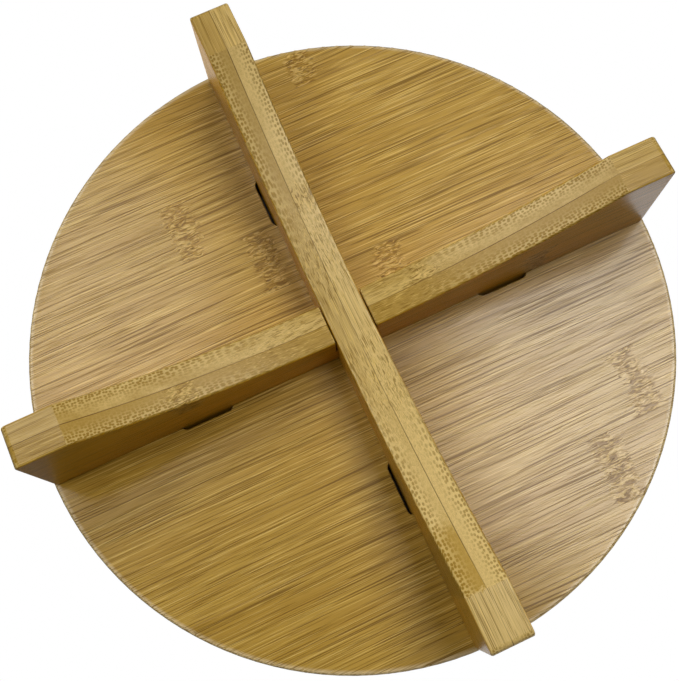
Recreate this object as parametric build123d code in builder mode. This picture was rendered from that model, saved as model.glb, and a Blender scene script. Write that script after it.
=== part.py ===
from build123d import *

import os

# Raised turntable: a round bamboo platter turns on a ball-bearing ring, above a base disc that
# stands on two cross-lapped leg boards. Millimetres, +Z up. The feet stand on Z = 0, the platter
# turns about the Z axis, and the leg boards lie along X and Y.

# Round boards
disc_diameter = 203.0
base_thickness = 10.0
platter_thickness = 12.5
disc_edge_radius = 1.8
base_edge_radius = 0.8  # on the side the legs are on
platter_edge_radius = 2.5

# Leg boards
leg_thickness = 12.5
leg_height = 40.0
leg_length = 201.3
foot_length = 15.3
arch_rise = 20.7
foot_end_radius = 1.8
top_end_radius = 1.4
leg_easing = 0.6
notch_easing = 0.5
lap_clearance = 0.4

# Mortises in the base disc, and the tabs of the leg boards that stand in them
mortise_offset = 50.7
mortise_length = 17.2
mortise_width = 14.4
mortise_corner_radius = 2.1
mortise_depth = 6.5
mortise_rim_easing = 0.3
tab_length = 16.6
tab_height = 6.0
tab_corner_radius = 0.8

# Ball-bearing ring
ring_outer_radius = 70.0
ring_inner_radius = 52.0
ring_height = 8.0
ring_lift = 0.5
ring_chamfer = 0.4
race_gap = 1.6
pitch_radius = 60.5
ball_diameter = 4.0
ball_clearance = 0.2
ball_count = 40
cage_thickness = 0.9
cage_height = 6.4
cage_window_diameter = 4.5

# Screws, each with a countersunk head and a cross recess
screw_count = 4
base_screw_circle = 65.8
base_screw_diameter = 3.0
base_screw_head_diameter = 5.6
base_screw_engagement = 6.5
base_hole_diameter = 3.5
base_head_recess = 0.5
platter_screw_circle = 55.8
platter_screw_diameter = 3.0
platter_screw_head_diameter = 5.4
platter_screw_embedment = 8.0
platter_screw_tip = 2.2
platter_screw_angle = 45.0
ring_hole_diameter = 3.4
platter_head_recess = 0.3
machine_screw_tip = 0.5
recess_width = 0.8
recess_span = 0.4
recess_depth = 0.9

# Rivets that hold the two halves of the outer ring together
rivet_count = 8
rivet_circle = 65.8
rivet_angle = 22.5
rivet_diameter = 2.4
rivet_head_diameter = 4.0
rivet_head_height = 0.7
rivet_head_recess = 0.2

# Heights and radii worked out from the sizes above
disc_radius = disc_diameter / 2
base_bottom = leg_height
base_top = base_bottom + base_thickness
outer_ring_top = base_top + ring_height
inner_ring_bottom = base_top + ring_lift
inner_ring_top = inner_ring_bottom + ring_height
platter_bottom = inner_ring_top
race_plane_height = (base_top + inner_ring_top) / 2
race_inner_wall = pitch_radius - race_gap / 2
race_outer_wall = pitch_radius + race_gap / 2
half_leg = leg_length / 2
arch_half_span = half_leg - foot_length
lap_width = leg_thickness + 2 * lap_clearance
lap_height = (arch_rise + leg_height) / 2
beyond = 1.0
snug = 0.01

race_plane = Plane.XY.offset(race_plane_height)
underside_plane = Plane(origin=(0, 0, base_bottom), z_dir=(0, 0, -1))

os.makedirs("parts", exist_ok=True)


def round_board(bottom, thickness, lower_radius, upper_radius):
    """A round board with rolled edges, its underside at the given height."""
    with BuildPart() as board:
        with BuildSketch(Plane.XY.offset(bottom)):
            Circle(disc_radius)
        extrude(amount=thickness)
        fillet(board.edges().group_by(Axis.Z)[0], lower_radius)
        fillet(board.edges().group_by(Axis.Z)[-1], upper_radius)
    return board.part


def leg_board():
    """A leg board along X, arched between its feet, with a tab for each mortise and no notch yet."""
    with BuildPart() as board:
        with BuildSketch(Plane.XZ) as outline:
            with BuildLine():
                ThreePointArc((-arch_half_span, 0), (0, arch_rise), (arch_half_span, 0))
                Polyline(
                    (arch_half_span, 0),
                    (half_leg, 0),
                    (half_leg, leg_height),
                    (-half_leg, leg_height),
                    (-half_leg, 0),
                    (-arch_half_span, 0),
                )
            make_face()
            outer_corners = outline.vertices().filter_by(lambda corner: abs(corner.X) > half_leg - beyond)
            fillet(outer_corners.group_by(Axis.Y)[0], foot_end_radius)
            fillet(outline.vertices().group_by(Axis.Y)[-1], top_end_radius)
        extrude(amount=leg_thickness / 2, both=True)
        fillet(board.faces().filter_by(Axis.Y).edges(), leg_easing)
        with BuildSketch(Plane.XY.offset(leg_height - top_end_radius)):
            with Locations((-mortise_offset, 0), (mortise_offset, 0)):
                RectangleRounded(tab_length, leg_thickness, tab_corner_radius)
        extrude(amount=top_end_radius + tab_height)
    return board.part


def race_ring(inner_radius, outer_radius, bottom, top):
    """A ring between two heights, with the balls' groove turned into the wall that faces them."""
    plain_wall = outer_radius if inner_radius > pitch_radius else inner_radius
    with BuildPart() as ring:
        with BuildSketch(Plane.XZ) as section:
            with Locations((inner_radius, bottom)):
                Rectangle(outer_radius - inner_radius, top - bottom, align=Align.MIN)
            plain_corners = section.vertices().filter_by(lambda corner: abs(corner.X - plain_wall) < snug)
            chamfer(plain_corners, ring_chamfer)
            with Locations((pitch_radius, race_plane_height)):
                Circle(ball_diameter / 2 + ball_clearance, mode=Mode.SUBTRACT)
        revolve(axis=Axis.Z)
    return ring.part


def countersunk_screw(head_diameter, shank_diameter, length, tip_length):
    """A screw that stands on its head at the origin, with its tip upward."""
    head_height = (head_diameter - shank_diameter) / 2
    tip_radius = max(shank_diameter / 2 - tip_length, shank_diameter / 10)
    recess_length = shank_diameter + recess_span
    with BuildPart() as screw:
        with BuildSketch(Plane.XZ):
            with BuildLine():
                Polyline(
                    (0, 0),
                    (head_diameter / 2, 0),
                    (shank_diameter / 2, head_height),
                    (shank_diameter / 2, length - tip_length),
                    (tip_radius, length),
                    (0, length),
                    close=True,
                )
            make_face()
        revolve(axis=Axis.Z)
        with BuildSketch():
            Rectangle(recess_length, recess_width)
            Rectangle(recess_width, recess_length)
        extrude(amount=recess_depth, mode=Mode.SUBTRACT)
    return screw.part


def rivet():
    """A rivet as long as the outer ring is high, less its two sunk heads' recesses."""
    length = ring_height - 2 * rivet_head_recess
    with BuildPart() as one:
        with BuildSketch():
            Circle(rivet_diameter / 2)
        extrude(amount=length)
        with BuildSketch():
            Circle(rivet_head_diameter / 2)
        extrude(amount=rivet_head_height)
        with BuildSketch(Plane.XY.offset(length - rivet_head_height)):
            Circle(rivet_head_diameter / 2)
        extrude(amount=rivet_head_height)
    return one.part


# Platter, with a pilot hole for each screw that holds the inner ring to it
with BuildPart() as platter:
    add(round_board(platter_bottom, platter_thickness, disc_edge_radius, platter_edge_radius))
    with BuildSketch(Plane.XY.offset(platter_bottom)):
        with PolarLocations(platter_screw_circle, screw_count, start_angle=platter_screw_angle):
            Circle(platter_screw_diameter / 2)
    extrude(amount=platter_screw_embedment, mode=Mode.SUBTRACT)
platter.part.label = "platter"
export_step(platter.part, "parts/platter.step")

# Base disc, mortised for the legs' tabs and countersunk from below for the bearing's screws
with BuildPart() as base_disc:
    add(round_board(base_bottom, base_thickness, base_edge_radius, disc_edge_radius))
    with BuildSketch(Plane.XY.offset(base_bottom)):
        for arm_angle in range(0, 360, 90):
            with Locations(Location((0, 0, 0), arm_angle)):
                with Locations((mortise_offset, 0)):
                    RectangleRounded(mortise_length, mortise_width, mortise_corner_radius)
    extrude(amount=mortise_depth, mode=Mode.SUBTRACT)
    underside = base_disc.faces().filter_by(Axis.Z).sort_by(Axis.Z)[0]
    chamfer(underside.inner_wires().edges(), mortise_rim_easing)
    with Locations(underside_plane):
        with PolarLocations(base_screw_circle, screw_count):
            CounterSinkHole(
                radius=base_hole_diameter / 2,
                counter_sink_radius=base_screw_head_diameter / 2 + base_head_recess,
                counter_sink_angle=90,
            )
base_disc.part.label = "base_disc"
export_step(base_disc.part, "parts/base_disc.step")

# Upper cross leg, along X, notched from below so that it drops over the other board
with BuildPart() as upper_cross_leg:
    add(leg_board())
    with BuildSketch(Plane.XY):
        Rectangle(lap_width, leg_thickness + beyond)
    extrude(amount=lap_height, mode=Mode.SUBTRACT)
    notch_mouth = (
        upper_cross_leg.edges()
        .filter_by(Axis.Y)
        .filter_by_position(Axis.X, -lap_width, lap_width)
        .filter_by_position(Axis.Z, 0, arch_rise + beyond)
    )
    fillet(notch_mouth, notch_easing)
upper_cross_leg.part.label = "upper_cross_leg"
export_step(upper_cross_leg.part, "parts/upper_cross_leg.step")

# Lower cross leg, along Y, notched from above so that it runs unbroken on the floor side
with BuildPart() as lower_cross_leg:
    add(leg_board(), rotation=(0, 0, 90))
    with BuildSketch(Plane.XY.offset(lap_height)):
        Rectangle(leg_thickness + beyond, lap_width)
    extrude(amount=leg_height, mode=Mode.SUBTRACT)
lower_cross_leg.part.label = "lower_cross_leg"
export_step(lower_cross_leg.part, "parts/lower_cross_leg.step")

# Fixed outer ring, in two halves that close over the balls
with BuildPart() as lower_race_ring:
    add(race_ring(race_outer_wall, ring_outer_radius, base_top, race_plane_height))
    with BuildSketch(Plane.XY.offset(base_top)):
        with PolarLocations(base_screw_circle, screw_count):
            Circle(base_screw_diameter / 2)
        with PolarLocations(rivet_circle, rivet_count, start_angle=rivet_angle):
            Circle(rivet_diameter / 2)
    extrude(amount=ring_height, mode=Mode.SUBTRACT)
    with BuildSketch(Plane.XY.offset(base_top)):
        with PolarLocations(rivet_circle, rivet_count, start_angle=rivet_angle):
            Circle(rivet_head_diameter / 2)
    extrude(amount=rivet_head_recess + rivet_head_height, mode=Mode.SUBTRACT)
lower_race_ring.part.label = "lower_race_ring"
export_step(lower_race_ring.part, "parts/lower_race_ring.step")

with BuildPart() as upper_race_ring:
    add(race_ring(race_outer_wall, ring_outer_radius, race_plane_height, outer_ring_top))
    with BuildSketch(Plane.XY.offset(race_plane_height)):
        with PolarLocations(base_screw_circle, screw_count):
            Circle(base_screw_diameter / 2)
        with PolarLocations(rivet_circle, rivet_count, start_angle=rivet_angle):
            Circle(rivet_diameter / 2)
    extrude(amount=ring_height, mode=Mode.SUBTRACT)
    with BuildSketch(Plane.XY.offset(outer_ring_top)):
        with PolarLocations(rivet_circle, rivet_count, start_angle=rivet_angle):
            Circle(rivet_head_diameter / 2)
    extrude(amount=-(rivet_head_recess + rivet_head_height), mode=Mode.SUBTRACT)
upper_race_ring.part.label = "upper_race_ring"
export_step(upper_race_ring.part, "parts/upper_race_ring.step")

# Turning inner ring, countersunk from below for the screws that hold it to the platter
with BuildPart() as inner_race_ring:
    add(race_ring(ring_inner_radius, race_inner_wall, inner_ring_bottom, inner_ring_top))
    with Locations(Plane(origin=(0, 0, inner_ring_bottom), z_dir=(0, 0, -1))):
        with PolarLocations(platter_screw_circle, screw_count, start_angle=platter_screw_angle):
            CounterSinkHole(
                radius=ring_hole_diameter / 2,
                counter_sink_radius=platter_screw_head_diameter / 2 + platter_head_recess,
                counter_sink_angle=90,
            )
inner_race_ring.part.label = "inner_race_ring"
export_step(inner_race_ring.part, "parts/inner_race_ring.step")

# Cage that keeps the balls apart, and the balls in its windows
with BuildPart(race_plane) as ball_cage:
    with BuildSketch(Plane.XY.offset(race_plane_height - cage_height / 2)):
        Circle(pitch_radius + cage_thickness / 2)
        Circle(pitch_radius - cage_thickness / 2, mode=Mode.SUBTRACT)
    extrude(amount=cage_height)
    with PolarLocations(pitch_radius, ball_count):
        Cylinder(cage_window_diameter / 2, 2 * ball_diameter, rotation=(0, 90, 0), mode=Mode.SUBTRACT)
ball_cage.part.label = "ball_cage"
export_step(ball_cage.part, "parts/ball_cage.step")

with BuildPart(race_plane) as bearing_balls:
    with PolarLocations(pitch_radius, ball_count):
        Sphere(ball_diameter / 2)
bearing_balls.part.label = "bearing_balls"
export_step(bearing_balls.part, "parts/bearing_balls.step")

# Fasteners
with BuildPart(Plane.XY.offset(base_top + rivet_head_recess)) as race_rivets:
    with PolarLocations(rivet_circle, rivet_count, start_angle=rivet_angle):
        add(rivet())
race_rivets.part.label = "race_rivets"
export_step(race_rivets.part, "parts/race_rivets.step")

with BuildPart(Plane.XY.offset(base_bottom + base_head_recess)) as base_screws:
    base_screw_length = base_thickness - base_head_recess + base_screw_engagement
    with PolarLocations(base_screw_circle, screw_count):
        add(countersunk_screw(
            base_screw_head_diameter, base_screw_diameter, base_screw_length, machine_screw_tip))
base_screws.part.label = "base_screws"
export_step(base_screws.part, "parts/base_screws.step")

with BuildPart(Plane.XY.offset(inner_ring_bottom + platter_head_recess)) as platter_screws:
    platter_screw_length = ring_height - platter_head_recess + platter_screw_embedment
    with PolarLocations(platter_screw_circle, screw_count, start_angle=platter_screw_angle):
        add(countersunk_screw(
            platter_screw_head_diameter, platter_screw_diameter, platter_screw_length, platter_screw_tip))
platter_screws.part.label = "platter_screws"
export_step(platter_screws.part, "parts/platter_screws.step")
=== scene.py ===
"""The raised bamboo turntable, seen from underneath, in a plain pale studio.

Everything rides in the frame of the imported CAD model, in metres: the feet stand on Z = 0, the platter
turns about the Z axis, and the two leg boards lie along X and Y. Sizes in materials are in millimetres.
"""

import math

import bpy
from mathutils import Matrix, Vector


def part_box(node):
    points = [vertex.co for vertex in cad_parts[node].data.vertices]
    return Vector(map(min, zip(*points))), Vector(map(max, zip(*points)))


MM_PER_M = 1000.0


class Graph:
    """One material's shader nodes, added and wired up by short calls."""

    def __init__(self, name):
        self.material = bpy.data.materials.new(name)
        self.material.use_nodes = True
        self.tree = self.material.node_tree
        self.shader = self.tree.nodes["Principled BSDF"]

    def node(self, kind, inputs, output=0, **settings):
        """Adds a node, sets or links its inputs by name or number, and returns one of its outputs."""
        made = self.tree.nodes.new("ShaderNode" + kind)
        for setting, value in settings.items():
            setattr(made, setting, value)
        for socket, value in inputs.items():
            if isinstance(value, bpy.types.NodeSocket):
                self.tree.links.new(value, made.inputs[socket])
            else:
                made.inputs[socket].default_value = value
        return made.outputs[output]

    def math(self, operation, *values):
        return self.node("Math", dict(enumerate(values)), operation=operation)

    def add(self, *values):
        total = values[0]
        for value in values[1:]:
            total = self.math("ADD", total, value)
        return total

    def times(self, *values):
        product = values[0]
        for value in values[1:]:
            product = self.math("MULTIPLY", product, value)
        return product

    def fade(self, value, start, end, from_value=0.0, to_value=1.0):
        """Goes smoothly from from_value at start to to_value at end, and stays level outside them."""
        inputs = {"Value": value, "From Min": start, "From Max": end}
        inputs.update({"To Min": from_value, "To Max": to_value})
        return self.node("MapRange", inputs, interpolation_type="SMOOTHSTEP")

    def centred(self, value, reach):
        """A value from 0 to 1, moved to lie around 0 and to span reach."""
        return self.times(self.math("SUBTRACT", value, 0.5), reach)

    def radius(self, x, y):
        """How far the point is from the Z axis."""
        return self.math("SQRT", self.add(self.times(x, x), self.times(y, y)))

    def vector(self, x, y, z):
        return self.node("CombineXYZ", {0: x, 1: y, 2: z})

    def noise(self, x, y, z, detail=2.0, roughness=0.5):
        inputs = {"Vector": self.vector(x, y, z), "Scale": 1.0, "Detail": detail, "Roughness": roughness}
        return self.node("TexNoise", inputs)

    def cells(self, vector, dimensions, randomness):
        """The distance to the nearest of a field of scattered points, one in each unit cell."""
        inputs = {"Vector": vector, "Scale": 1.0, "Randomness": randomness}
        return self.node("TexVoronoi", inputs, voronoi_dimensions=dimensions)

    def steps(self, place, values):
        """Looks up the values, laid side by side in equal steps from place 0 to place 1."""
        ramp = self.tree.nodes.new("ShaderNodeValToRGB")
        ramp.color_ramp.interpolation = "CONSTANT"
        stops = ramp.color_ramp.elements
        while len(stops) < len(values):
            stops.new(1.0)
        for number, value in enumerate(values):
            stops[number].position = number / len(values)
            stops[number].color = rgb(value, value, value)
        self.tree.links.new(place, ramp.inputs[0])
        return ramp.outputs[0]

    def blend(self, factor, first, second):
        """Mixes two colours: the first where factor is 0, the second where it is 1."""
        inputs = {0: factor, 6: first, 7: second}
        return self.node("Mix", inputs, output=2, data_type="RGBA")

    def place(self):
        """Where the point is on the piece at rest, in millimetres along X, Y and Z."""
        coordinates = self.node("TexCoord", {}, output=3)
        scaled = self.node("VectorMath", {0: coordinates, "Scale": MM_PER_M}, operation="SCALE")
        return [self.node("SeparateXYZ", {0: scaled}, output=axis) for axis in range(3)]

    def facing(self, axis, start, end):
        """How far the surface is turned towards either end of an axis, from start to end of its normal."""
        normal = self.node("TexCoord", {}, output=1)
        part = self.node("SeparateXYZ", {0: normal}, output="XYZ".index(axis))
        return self.fade(self.math("ABSOLUTE", part), start, end)

    def finish(self, color, roughness, height, bump_distance, **others):
        """Wires the colour, roughness and bump to the shader, and links or sets its other sockets."""
        bump = self.node("Bump", {"Height": height, "Distance": bump_distance, "Strength": 1.0})
        self.tree.links.new(bump, self.shader.inputs["Normal"])
        self.tree.links.new(color, self.shader.inputs["Base Color"])
        self.tree.links.new(roughness, self.shader.inputs["Roughness"])
        for name, value in others.items():
            socket = self.shader.inputs[name.replace("_", " ")]
            if isinstance(value, bpy.types.NodeSocket):
                self.tree.links.new(value, socket)
            else:
                socket.default_value = value
        return self.material


def rgb(red, green, blue):
    """A linear colour for a colour socket."""
    return (red, green, blue, 1.0)


# A strip without a knuckle has it far outside the board, but inside the span that the lookup can hold
NO_KNUCKLE = 400.0
KNUCKLE_SPAN = 800.0

# Colours of the marks in the bamboo, and of the painted shade in the cuts and the painted highlight on the
# rim
HALO = rgb(0.56, 0.36, 0.05)
KNUCKLE = rgb(0.47, 0.245, 0.010)
HAIR = rgb(0.37, 0.205, 0.018)
PALE_LINE = rgb(0.86, 0.59, 0.15)
BUNDLE_RING = rgb(0.88, 0.66, 0.25)
FINE_LINE = rgb(0.29, 0.155, 0.008)
DARK_LINE = rgb(0.24, 0.122, 0.004)
PALE_DASH = rgb(0.84, 0.58, 0.17)
DARK_DASH = rgb(0.22, 0.102, 0.003)
BUNDLE_DOT = rgb(0.29, 0.155, 0.010)
PIT = rgb(0.10, 0.04, 0.006)
GLUE = rgb(0.12, 0.05, 0.01)
# Painted shade: near black on the walls of the cuts in the base disc, where they lie deep in shade
PAINTED_CUT_SHADE = rgb(0.02, 0.012, 0.006)
# Painted highlight on the rounded rim of the discs
PAINTED_RIM_HIGHLIGHT = rgb(0.90, 0.72, 0.42)


def knuckle_marks(g, along, width, depth, row, places):
    """The ragged band at each row's knuckle, and the stain that fades out on the low side of it."""
    shares = [0.5 + (NO_KNUCKLE if place is None else place) / KNUCKLE_SPAN for place in places]
    share = g.steps(g.math("DIVIDE", g.add(row, 0.5), len(places)), shares)
    wobble = g.centred(g.noise(g.times(along, 0.05), g.times(width, 0.22), depth), 9.0)
    from_knuckle = g.add(g.math("SUBTRACT", along, g.centred(share, KNUCKLE_SPAN)), wobble)
    ragged = g.centred(g.noise(g.times(along, 0.30), g.times(width, 0.60), depth), 1.2)
    nearness = g.fade(g.math("ABSOLUTE", from_knuckle), 8.5, 0.0)
    band = g.fade(g.add(nearness, ragged), 0.30, 0.75)
    halo = g.times(g.fade(from_knuckle, -22.0, -6.0), g.fade(from_knuckle, 3.0, -1.0))
    return band, halo


def bundle_marks(g, fibre_depth, fibre_width, outwards, end_grain, bundle):
    """Vascular bundles, dark with a pale ring in the end grain, crowded towards the ply's outer face."""
    spacing_depth, spacing_width = bundle
    cell = g.vector(g.times(fibre_depth, 1 / spacing_depth), g.times(fibre_width, 1 / spacing_width), 0.0)
    distance = g.cells(cell, "2D", 0.55)
    crowd = g.fade(outwards, 0.15, 0.90, 0.10, 1.0)
    dot = g.times(g.fade(distance, 0.42, 0.24), crowd, g.add(g.times(end_grain, 0.88), 0.12))
    ring = g.times(g.fade(distance, 0.34, 0.50), crowd, end_grain)
    return dot, ring


def bamboo(name, axes, middle, ply, strips, knuckles, bundle, tones, colors, shade_slope=0.0, gloss=0.95,
           ior=1.42, lined=1.0, fineness=1.0, cut_shade=None, rim=None, face=None, patch=None):
    """Laminated bamboo, as a solid texture that any cut through the board shows.

    axes: which of X, Y and Z the fibres run along, the strips' width, and the board's thickness
    middle, ply: where the glue line between the two plies is, and how thick each ply is
    strips: where the first strip starts, and how wide each strip is
    knuckles: where each strip's knuckle lies along the fibres, in the low-side ply and in the high-side one
    bundle: the spacing of the vascular bundles across the thickness and across the width
    tones, colors: how dark the low-side and the high-side ply are, between the light and the deep colour
    slope: how much darker the wood is painted per millimetre along the fibres, a painted shade where less
    light reaches one end of the board
    gloss, ior: how much varnish there is, and how strongly the wood under it shines
    lined, fineness: how strong and how fine the fibres' lines are
    hollow: the lowest and highest level and the greatest radius at which cut-outs in the board are painted
    dark, a painted shade deep in the cuts
    rim: the radius outside which the edge is painted pale, a painted highlight on the rounded edge
    face: a painted warm bounce light, the glow that the disc throws onto the board's broad faces, laid over
    the wood there
    patch: where a stain in the low-side ply starts and ends along the fibres, and its colour
    """
    g = Graph(name)
    place = g.place()
    along, width, depth = (place["XYZ".index(axis)] for axis in axes)
    depth = g.math("SUBTRACT", depth, middle)
    side = g.math("GREATER_THAN", depth, 0.0)
    outwards = g.math("DIVIDE", g.math("ABSOLUTE", depth), ply)

    strip_start, strip_width = strips
    strip_place = g.math("DIVIDE", g.math("SUBTRACT", width, strip_start), strip_width)
    in_strip = g.math("FRACT", strip_place)
    row = g.add(g.math("FLOOR", strip_place), g.times(side, len(knuckles[0])))
    seed = g.times(row, 7.31)
    strip_tone = g.node("TexWhiteNoise", {"W": seed}, noise_dimensions="1D")
    knuckle, halo = knuckle_marks(g, along, width, depth, row, knuckles[0] + knuckles[1])

    end_grain = g.facing(axes[0], 0.03, 0.33)
    face_grain = g.facing(axes[2], 0.50, 0.90)
    length_grain = g.fade(end_grain, 0.0, 1.0, lined, lined * 0.15)

    # Fibres wander a little along the strip, and swirl at a knuckle
    def drift(offset, reach, swirl_reach):
        slow = g.noise(g.times(along, 0.009), g.add(g.times(width, 0.05), offset), seed, 1.0)
        swirl = g.noise(g.times(along, 0.22), g.times(width, 0.45), g.add(depth, offset), 1.0)
        return g.add(g.centred(slow, reach), g.times(g.centred(swirl, swirl_reach), knuckle))

    fibre_width = g.add(width, drift(2.0, 2.5, 2.2), g.times(seed, 5.0))
    fibre_depth = g.add(depth, drift(9.0, 1.5, 2.2), g.times(side, 4.4))

    # Streaks along the fibres, each kind with its own offset so that no two fall together
    def streaks(stretch, per_mm, detail, roughness, offset=0.0):
        across = g.add(g.times(fibre_width, per_mm * fineness), offset)
        through = g.times(fibre_depth, per_mm * fineness)
        return g.noise(g.times(along, stretch), across, through, detail, roughness)

    bands = streaks(0.010, 0.22, 3.0, 0.6)
    line = g.times(g.fade(streaks(0.026, 2.8, 1.0, 0.5), 0.585, 0.64), length_grain)
    fine_line = g.times(g.fade(streaks(0.050, 4.0, 1.0, 0.5, 40.0), 0.565, 0.635), length_grain)
    pale_line = g.times(g.fade(streaks(0.032, 3.0, 1.0, 0.5, 90.0), 0.57, 0.65), length_grain)
    hair = g.fade(streaks(0.100, 6.5, 2.0, 0.6, 150.0), 0.40, 0.62)
    dashes = streaks(0.26, 1.50, 2.0, 0.6, 210.0)
    dark_dash = g.times(g.fade(dashes, 0.52, 0.60), knuckle)
    pale_dash = g.times(g.fade(dashes, 0.47, 0.40), knuckle)
    dot, ring = bundle_marks(g, fibre_depth, fibre_width, outwards, end_grain, bundle)

    # Pits where fibres turn out of the surface at a knuckle
    pit_cell = g.vector(g.times(along, 0.22), g.times(width, 0.62), g.times(depth, 0.4))
    pit_core = g.fade(g.cells(pit_cell, "3D", 0.9), 0.25, 0.13)
    pit = g.times(pit_core, g.fade(knuckle, 0.45, 0.85), face_grain)

    # The wood's own colour, by strip, band and ply, with a painted shade that darkens it along the fibres,
    # then what covers parts of the board, painted bounce light and a painted rim highlight among them
    low_tone, high_tone = tones
    light, deep = colors
    tone = g.add(bands, g.centred(strip_tone, 0.40), low_tone - 0.05)
    # Painted shade: the tone darkens steadily along the fibres, for light that falls off towards one end
    tone = g.add(tone, g.times(side, high_tone - low_tone), g.times(along, shade_slope))
    color = g.blend(g.fade(tone, 0.10, 0.95), light, deep)
    # Painted bounce light: the broad faces take on the warm glow that the disc throws onto them
    if face:
        color = g.blend(g.times(face_grain, 0.85), color, face)
    # Painted highlight: the rounded rim is painted pale, as where it catches the light
    if rim:
        rim_highlight = g.fade(g.radius(place[0], place[1]), rim, rim + 1.2, 0.0, 0.80)
        color = g.blend(rim_highlight, color, PAINTED_RIM_HIGHLIGHT)
    if patch:
        start, end, stain = patch
        edge = g.add(along, g.centred(g.noise(along, width, depth), 6.0))
        low_side = g.math("SUBTRACT", 1.0, side)
        stained = g.times(g.fade(edge, start, start + 6.0), g.fade(edge, end, end - 1.0), low_side)
        color = g.blend(g.times(stained, 0.8), color, stain)

    # Joints: the seams between strips, and the glue line between the plies
    seam = g.fade(g.math("ABSOLUTE", g.math("SUBTRACT", in_strip, 0.5)), 0.488, 0.497)
    glue_seen = g.fade(g.noise(g.times(along, 0.02), seed, 3.0, 1.0), 0.34, 0.54, 0.20, 1.0)
    glue = g.times(g.fade(outwards, 0.026, 0.010), glue_seen, g.add(g.times(end_grain, 0.20), 0.55))
    joint = g.math("MAXIMUM", g.times(seam, 0.30), glue)

    # The marks, from the bottom one up: how much of each there is, and its colour
    marks = (
        (g.times(halo, 0.22), HALO),
        (g.times(knuckle, g.add(g.times(face_grain, 0.45), 0.10)), KNUCKLE),
        (g.times(hair, 0.30), HAIR),
        (g.times(pale_line, 0.72), PALE_LINE),
        (g.times(ring, 0.45), BUNDLE_RING),
        (g.times(fine_line, 0.56), FINE_LINE),
        (g.times(line, 0.88), DARK_LINE),
        (g.times(pale_dash, 0.62), PALE_DASH),
        (g.times(dark_dash, 0.66), DARK_DASH),
        (g.times(dot, 0.72), BUNDLE_DOT),
        (g.times(pit, 0.55), PIT),
        (joint, GLUE),
    )
    for amount, mark_color in marks:
        color = g.blend(amount, color, mark_color)

    # Open grain is lower and duller, and holds less varnish
    groove = g.add(g.times(line, 0.6), g.times(fine_line, 0.3), g.times(dark_dash, 0.3), g.times(dot, 0.7))
    groove = g.add(groove, g.times(joint, 1.2), pit)
    height = g.math("SUBTRACT", g.add(g.times(pale_line, 0.2), 1.0), g.math("MINIMUM", groove, 1.0))
    roughness = g.add(g.times(groove, 0.12), g.times(bands, 0.08), 0.26)
    open_grain = g.add(groove, g.times(fine_line, 0.4), g.times(knuckle, 0.3))
    varnish = g.fade(open_grain, 0.0, 0.8, gloss, gloss * 0.45)
    if face:
        varnish = g.times(varnish, g.math("SUBTRACT", 1.0, face_grain))
    # Painted shade: the walls of the cuts, between the two levels and within the radius, are painted near
    # black and lose their varnish
    if cut_shade:
        low, high, reach = cut_shade
        level = g.times(g.fade(place[2], low, low + 0.5), g.math("LESS_THAN", place[2], high))
        inside = g.times(level, g.math("LESS_THAN", g.radius(place[0], place[1]), reach))
        color = g.blend(g.times(inside, 0.93), color, PAINTED_CUT_SHADE)
        varnish = g.times(varnish, g.math("SUBTRACT", 1.0, inside))
    others = {"Coat_Weight": varnish, "Coat_Roughness": 0.20, "IOR": ior}
    return g.finish(color, roughness, height, 0.00008, **others)


def turned_metal(name, color_low, color_high, groove, roughness_low, roughness_high):
    """Metal with the fine rings that a lathe tool leaves about the Z axis."""
    g = Graph(name)
    x, y, z = g.place()
    rings = g.noise(g.times(g.radius(x, y), groove), g.times(z, groove), 0.0, 3.0, 0.7)
    cloud = g.noise(g.times(x, 0.08), g.times(y, 0.08), g.times(z, 0.08), 3.0, 0.6)
    color = g.blend(g.fade(g.add(g.times(rings, 0.5), g.times(cloud, 0.5)), 0.3, 0.7), color_low, color_high)
    roughness = g.add(g.fade(rings, 0.3, 0.7, roughness_low, roughness_high), g.times(cloud, 0.08))
    return g.finish(color, roughness, rings, 0.00003, Metallic=1.0)


def plain_metal(name, color_low, color_high, grain, roughness_low, roughness_high):
    """Metal with a fine mottle, for small fasteners and balls."""
    g = Graph(name)
    x, y, z = g.place()
    mottle = g.noise(g.times(x, grain), g.times(y, grain), g.times(z, grain), 4.0, 0.6)
    cloud = g.noise(g.times(x, 0.3), g.times(y, 0.3), g.times(z, 0.3), 2.0)
    color = g.blend(g.fade(g.add(g.times(mottle, 0.6), g.times(cloud, 0.4)), 0.3, 0.7), color_low, color_high)
    roughness = g.fade(mottle, 0.3, 0.7, roughness_low, roughness_high)
    return g.finish(color, roughness, mottle, 0.00001, Metallic=1.0)


def moulded_nylon(name):
    """Natural nylon: milky, a little uneven in tone, with a fine satin grain."""
    g = Graph(name)
    x, y, z = g.place()
    cloud = g.noise(g.times(x, 0.15), g.times(y, 0.15), g.times(z, 0.5), 3.0, 0.6)
    grain = g.noise(g.times(x, 6.0), g.times(y, 6.0), g.times(z, 6.0), 3.0, 0.7)
    color = g.blend(g.fade(cloud, 0.3, 0.7), rgb(0.72, 0.71, 0.66), rgb(0.82, 0.81, 0.77))
    roughness = g.fade(grain, 0.3, 0.7, 0.38, 0.52)
    return g.finish(color, roughness, grain, 0.00001, Subsurface_Weight=0.15, Subsurface_Scale=0.002)


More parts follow.
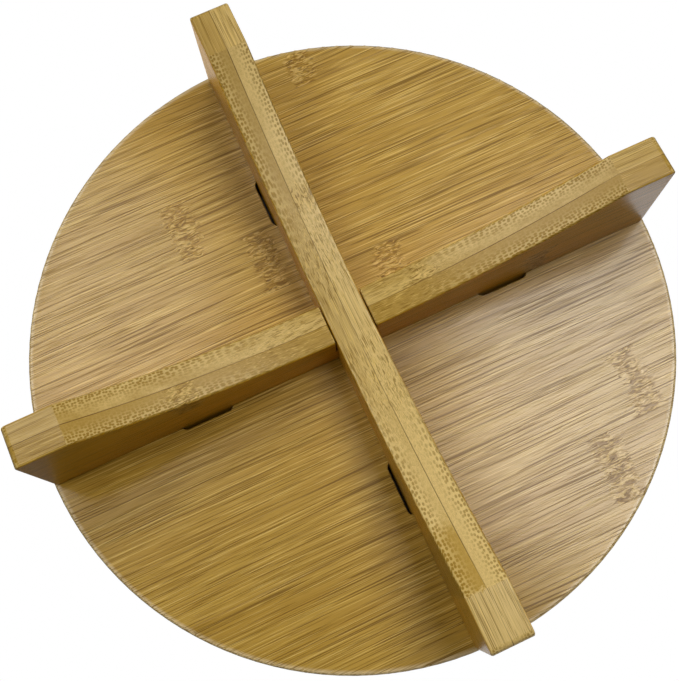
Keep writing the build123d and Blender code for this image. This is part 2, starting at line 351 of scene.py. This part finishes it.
def studio_floor(name):
    """A pale matt floor, seen only from above: from below it lets the view and the light through."""
    g = Graph(name)
    x, y, z = g.place()
    cloud = g.noise(g.times(x, 0.004), g.times(y, 0.004), 0.0, 3.0, 0.6)
    grain = g.noise(g.times(x, 0.8), g.times(y, 0.8), 0.0, 3.0, 0.6)
    color = g.blend(g.fade(cloud, 0.3, 0.7), rgb(0.80, 0.80, 0.79), rgb(0.84, 0.84, 0.83))
    g.finish(color, g.fade(grain, 0.3, 0.7, 0.62, 0.75), grain, 0.00005)
    from_below = g.node("NewGeometry", {}, output=6)
    clear = g.node("BsdfTransparent", {})
    either = g.node("MixShader", {0: from_below, 1: g.shader.outputs[0], 2: clear})
    g.tree.links.new(either, g.tree.nodes["Material Output"].inputs["Surface"])
    return g.material


def paint(nodes, material):
    """Gives CAD nodes a finished material in place of their plain one."""
    for name in nodes:
        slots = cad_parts[name].material_slots
        for slot in slots:
            slot.material = material


def soft_light(name, towards, distance, size, power, mirrored):
    """A round soft light facing the middle of the disc's underside, mirrored in glossy surfaces or not."""
    direction = Vector(towards).normalized()
    data = bpy.data.lights.new(name, "AREA")
    data.shape = "DISK"
    data.size = size
    data.energy = power
    light = bpy.data.objects.new(name, data)
    light.location = underside_middle + direction * distance
    light.rotation_euler = direction.to_track_quat("Z", "Y").to_euler()
    light.visible_camera = False
    light.visible_glossy = mirrored
    bpy.context.scene.collection.objects.link(light)


def sky_light(name, towards, spread, strength):
    """An even light from far away, spread over so many degrees, not mirrored in glossy surfaces."""
    data = bpy.data.lights.new(name, "SUN")
    data.angle = math.radians(spread)
    data.energy = strength
    light = bpy.data.objects.new(name, data)
    light.rotation_euler = Vector(towards).to_track_quat("Z", "Y").to_euler()
    light.visible_glossy = False
    bpy.context.scene.collection.objects.link(light)


def studio_world(above, below):
    """A white backdrop that lights the object softly, more from above than from below."""
    world = bpy.data.worlds.new("studio")
    world.use_nodes = True
    tree = world.node_tree
    tree.nodes.clear()
    coordinates = tree.nodes.new("ShaderNodeTexCoord")
    split = tree.nodes.new("ShaderNodeSeparateXYZ")
    level = tree.nodes.new("ShaderNodeMapRange")
    path = tree.nodes.new("ShaderNodeLightPath")
    seen = tree.nodes.new("ShaderNodeMix")
    background = tree.nodes.new("ShaderNodeBackground")
    output = tree.nodes.new("ShaderNodeOutputWorld")
    level.interpolation_type = "SMOOTHSTEP"
    level.inputs["From Min"].default_value = -0.25
    level.inputs["From Max"].default_value = 0.25
    level.inputs["To Min"].default_value = below
    level.inputs["To Max"].default_value = above
    seen.inputs[3].default_value = 1.0
    tree.links.new(coordinates.outputs["Generated"], split.inputs[0])
    tree.links.new(split.outputs["Z"], level.inputs["Value"])
    tree.links.new(path.outputs["Is Camera Ray"], seen.inputs[0])
    tree.links.new(level.outputs[0], seen.inputs[2])
    tree.links.new(seen.outputs[0], background.inputs["Strength"])
    background.inputs["Color"].default_value = rgb(1.0, 1.0, 1.0)
    tree.links.new(background.outputs[0], output.inputs["Surface"])
    bpy.context.scene.world = world


# Frame
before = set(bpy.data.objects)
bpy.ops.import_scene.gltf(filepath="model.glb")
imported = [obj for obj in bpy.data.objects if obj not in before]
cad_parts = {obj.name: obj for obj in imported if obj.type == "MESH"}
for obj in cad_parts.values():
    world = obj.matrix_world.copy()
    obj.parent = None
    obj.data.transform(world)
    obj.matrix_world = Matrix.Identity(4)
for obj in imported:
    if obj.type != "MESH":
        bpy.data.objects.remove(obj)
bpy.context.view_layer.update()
base_low, base_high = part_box("base_disc")
platter_low, platter_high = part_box("platter")
disc_radius = base_high.x
underside_middle = Vector((0.0, 0.0, base_low.z))

# Camera, underneath the turntable as in the photograph
lens = bpy.data.cameras.new("camera")
lens.lens = 54.32
lens.sensor_width = 36.0
lens.shift_x = 0.0177
lens.shift_y = -0.0759
camera = bpy.data.objects.new("camera", lens)
camera.location = (-0.02824, 0.07465, -0.27321)
camera.rotation_euler = [math.radians(angle) for angle in (-163.336, -2.174, 24.454)]
bpy.context.scene.collection.objects.link(camera)
bpy.context.scene.camera = camera

# Materials
disc_middle = (base_low.z + base_high.z) / 2 * MM_PER_M
disc_ply = (base_high.z - base_low.z) / 2 * MM_PER_M
platter_middle = (platter_low.z + platter_high.z) / 2 * MM_PER_M
platter_ply = (platter_high.z - platter_low.z) / 2 * MM_PER_M
leg_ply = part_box("upper_cross_leg")[1].y * MM_PER_M
disc_colors = (rgb(0.62, 0.378, 0.056), rgb(0.48, 0.262, 0.022))
disc_bundle = (0.85, 0.60)
disc_tones = (0.0, 0.0)
rim = disc_radius * MM_PER_M - 1.9
# Where the painted shade in the base disc's cuts goes: from its underside to 1 mm under its top, within 75 mm
# of the middle
mortise_shade = (base_low.z * MM_PER_M, base_high.z * MM_PER_M - 1.0, 75.0)
leg_strips = (-0.4, 22.0)
# Painted bounce light for the legs' broad faces, the warm glow of the disc on them
painted_side_bounce = rgb(0.86, 0.430, 0.004)
stain = (64.0, 85.5, rgb(0.49, 0.285, 0.025))
base_knuckles = (
    [23.8, None, -34.6, -14.0, 21.5, None, None, 73.2, 55.6, None],
    [None, -61.0, None, 38.0, None, -22.0, 70.0, None, 9.0, None],
)
platter_knuckles = (
    [12.0, None, 47.0, None, -66.0, None, 28.0, None, None, -40.0],
    [None, -57.0, 30.0, None, None, 69.0, 22.0, None, -41.0, None],
)
paint(["base_disc"], bamboo(
    "base_bamboo", "XYZ", disc_middle, disc_ply, strips=(-105.5, 20.85), knuckles=base_knuckles,
    bundle=disc_bundle, tones=disc_tones, colors=disc_colors, cut_shade=mortise_shade, rim=rim))
paint(["platter"], bamboo(
    "platter_bamboo", "XYZ", platter_middle, platter_ply, strips=(-103.0, 20.85), knuckles=platter_knuckles,
    bundle=disc_bundle, tones=disc_tones, colors=disc_colors, rim=rim))
paint(["upper_cross_leg"], bamboo(
    "upper_leg_bamboo", "XZY", 0.0, leg_ply, leg_strips, knuckles=([25.0, None, None], [-53.0, 61.0, None]),
    bundle=(0.80, 0.42), tones=(0.15, 0.70), colors=(rgb(0.92, 0.660, 0.235), rgb(0.48, 0.290, 0.045)),
    gloss=0.6, ior=1.25, lined=0.7, fineness=1.3, face=painted_side_bounce))
# The lower leg is painted darker towards its low-Y end, a painted shade for the light that falls off there
paint(["lower_cross_leg"], bamboo(
    "lower_leg_bamboo", "YZX", 0.0, leg_ply, leg_strips, knuckles=([None, 52.0, None], [-38.5, None, None]),
    bundle=(0.95, 0.52), tones=(0.15, -0.38), colors=(rgb(0.84, 0.600, 0.210), rgb(0.52, 0.335, 0.080)),
    shade_slope=-0.0048, ior=1.30, lined=0.8, fineness=1.3, face=painted_side_bounce, patch=stain))
paint(["lower_race_ring", "upper_race_ring", "inner_race_ring"], turned_metal(
    "ring_aluminium", rgb(0.70, 0.71, 0.72), rgb(0.84, 0.85, 0.86), 9.0, 0.26, 0.42))
paint(["race_rivets"], plain_metal(
    "rivet_aluminium", rgb(0.66, 0.67, 0.69), rgb(0.80, 0.81, 0.82), 5.0, 0.30, 0.48))
paint(["bearing_balls"], plain_metal(
    "ball_steel", rgb(0.72, 0.73, 0.75), rgb(0.82, 0.83, 0.85), 3.0, 0.06, 0.14))
paint(["base_screws", "platter_screws"], plain_metal(
    "screw_steel", rgb(0.56, 0.56, 0.53), rgb(0.70, 0.70, 0.68), 4.0, 0.24, 0.42))
paint(["ball_cage"], moulded_nylon("cage_plastic"))

# Floor
reach = 300 * disc_radius
floor_level = -0.0002
mesh = bpy.data.meshes.new("floor")
corner_signs = ((-1, -1), (1, -1), (1, 1), (-1, 1))
corners = [(x_sign * reach, y_sign * reach, floor_level) for x_sign, y_sign in corner_signs]
mesh.from_pydata(corners, [], [(0, 1, 2, 3)])
mesh.materials.append(studio_floor("floor"))
floor = bpy.data.objects.new("floor", mesh)
floor.visible_shadow = False
floor.visible_diffuse = False
floor.visible_glossy = False
bpy.context.scene.collection.objects.link(floor)

# Light
bpy.context.scene.view_settings.view_transform = "Standard"
studio_world(0.18, 0.05)
soft_light("key_light", (0.36, 0.0, -0.94), 0.9, 0.42, 2.5, True)
soft_light("side_light", (0.34, -0.64, -0.80), 1.4, 0.70, 4.7, False)
soft_light("fill_light", (-0.26, -0.40, -0.922), 0.9, 0.40, 1.15, True)
soft_light("low_light", (-0.50, -0.05, -0.86), 1.4, 0.70, 3.0, False)
soft_light("back_light", (-0.07, -0.52, 0.85), 1.2, 0.80, 0.8, True)
soft_light("far_light", (0.15, 0.22, 0.96), 1.2, 1.0, 3.2, True)
sky_light("top_light", (-0.45, -0.55, 0.9), 30.0, 3.3)
